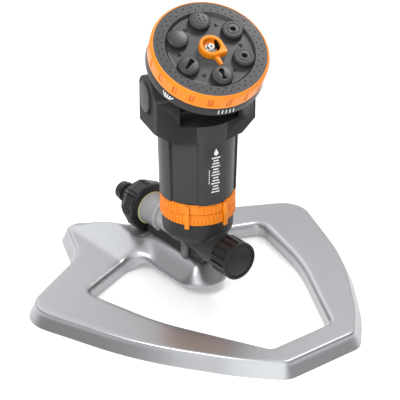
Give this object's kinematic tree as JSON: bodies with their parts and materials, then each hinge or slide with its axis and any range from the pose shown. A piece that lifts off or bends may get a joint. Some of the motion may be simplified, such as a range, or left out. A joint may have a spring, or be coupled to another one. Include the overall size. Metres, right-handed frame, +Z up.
{
  "type": "garden sprinkler",
  "caption": "Rotary pattern garden sprinkler: geared turbine turret with arc-setting rings and a tilting multi-pattern spray dial, on an open cast sled base with a hose inlet",
  "frame": {"origin": "on the ground, in the middle of the whole object's footprint", "axes": "+Z is up from the ground, +Y runs along the hose pipe towards the hose and the tail of the base, and +X is the base's right-hand side seen from the hose"},
  "size_m": [0.292, 0.294, 0.246],
  "materials": {
    "cast_metal": "satin silver paint on a zinc casting",
    "dark_plastic": "satin moulded",
    "black_plastic": "satin moulded",
    "face_plastic": "satin moulded",
    "orange_plastic": "satin moulded",
    "pale_washer": "matt",
    "seal_rubber": "matt",
    "acetal": "satin moulded",
    "steel": "bright"
  },
  "bodies": {
    "base": {"base_frame": "cast_metal", "manifold": "dark_plastic", "base_screws": "steel", "riser_spindle": "acetal", "sun_gear": "acetal", "lower_thrust_washer": "acetal", "upper_thrust_washer": "acetal", "inlet_filter": "steel", "neck_ring": "pale_washer"},
    "inlet_coupling": {"hose_connector": "black_plastic", "connector_washer": "seal_rubber", "nipple_seal": "seal_rubber"},
    "outlet_cap": {"end_cap": "black_plastic", "cap_washer": "seal_rubber"},
    "lower_ring": {"lower_arc_ring": "orange_plastic"},
    "upper_ring": {"upper_arc_ring": "orange_plastic"},
    "turret": {"body_shell": "dark_plastic", "bottom_cover": "dark_plastic", "cover_screws": "steel", "spindle_seal": "seal_rubber", "gear_pins": "steel", "gear_plate": "acetal", "stator_plate": "acetal", "turbine_bridge": "acetal", "trip_pin": "steel", "trip_spring": "steel", "spring_posts": "steel", "pivot_pin_left": "dark_plastic", "pivot_pin_right": "dark_plastic", "pivot_seals": "seal_rubber", "pivot_cap_left": "dark_plastic", "pivot_cap_right": "dark_plastic"},
    "gear_one": {"first_gear": "acetal"},
    "gear_two": {"second_gear": "acetal"},
    "turbine": {"turbine_pinion": "acetal", "turbine_shaft": "steel", "turbine_wheel": "acetal"},
    "trip": {"trip_lever": "acetal"},
    "head": {"bowl_housing": "dark_plastic", "bowl_lid": "dark_plastic", "lid_screws": "steel", "port_seal": "seal_rubber", "port_spring": "steel", "detent_ball": "steel", "detent_spring": "steel", "pointer_hub": "orange_plastic", "screw_washer": "steel", "centre_screw": "steel"},
    "dial": {"face_plate": "face_plastic", "bezel_ring": "orange_plastic", "dial_skirt": "dark_plastic", "star_nozzle": "face_plastic", "jet_nozzle": "face_plastic", "shower_nozzle": "face_plastic", "mist_nozzle": "face_plastic", "fan_nozzle": "face_plastic", "vertical_nozzle": "face_plastic"}
  },
  "joints": [
    {"name": "turret_yaw", "type": "hinge", "parent": "base", "child": "turret", "pos_m": [0, 0.0135, 0.095], "axis": [0, 0, 1], "continuous": true},
    {"name": "lower_ring_turn", "type": "hinge", "parent": "base", "child": "lower_ring", "pos_m": [0, 0.0135, 0.074], "axis": [0, 0, 1], "range_deg": [-25, 140]},
    {"name": "upper_ring_turn", "type": "hinge", "parent": "base", "child": "upper_ring", "pos_m": [0, 0.0135, 0.0836], "axis": [0, 0, 1], "range_deg": [-140, 25]},
    {"name": "inlet_swivel", "type": "hinge", "parent": "base", "child": "inlet_coupling", "pos_m": [0, 0.085, 0.044], "axis": [0, 1, 0], "continuous": true},
    {"name": "outlet_cap_turn", "type": "hinge", "parent": "base", "child": "outlet_cap", "pos_m": [0, -0.03, 0.044], "axis": [0, 1, 0], "range_deg": [0, 360]},
    {"name": "gear_one_spin", "type": "hinge", "parent": "turret", "child": "gear_one", "pos_m": [0.01208, 0.02517, 0.099], "axis": [0, 0, 1], "continuous": true},
    {"name": "gear_two_spin", "type": "hinge", "parent": "turret", "child": "gear_two", "pos_m": [-0.00125, 0.02785, 0.1035], "axis": [0, 0, 1], "continuous": true},
    {"name": "turbine_spin", "type": "hinge", "parent": "turret", "child": "turbine", "pos_m": [0, 0.0135, 0.114], "axis": [0, 0, 1], "continuous": true},
    {"name": "trip_swing", "type": "hinge", "parent": "turret", "child": "trip", "pos_m": [-0.00386, 0.00004, 0.0935], "axis": [0, 0, 1], "range_deg": [-12, 12]},
    {"name": "head_tilt", "type": "hinge", "parent": "turret", "child": "head", "pos_m": [0, 0.0135, 0.178], "axis": [0.9613, -0.2756, 0], "range_deg": [-30, 30]},
    {"name": "dial_turn", "type": "hinge", "parent": "head", "child": "dial", "pos_m": [0, 0.0135, 0.178], "axis": [-0.1399, -0.4879, 0.8616], "continuous": true}
  ],
  "couplings": [
    {"joint": "gear_one_spin", "follows": "turret_yaw", "ratio": 2.5},
    {"joint": "gear_two_spin", "follows": "turret_yaw", "ratio": -4.5833},
    {"joint": "turbine_spin", "follows": "turret_yaw", "ratio": 9.1667}
  ]
}
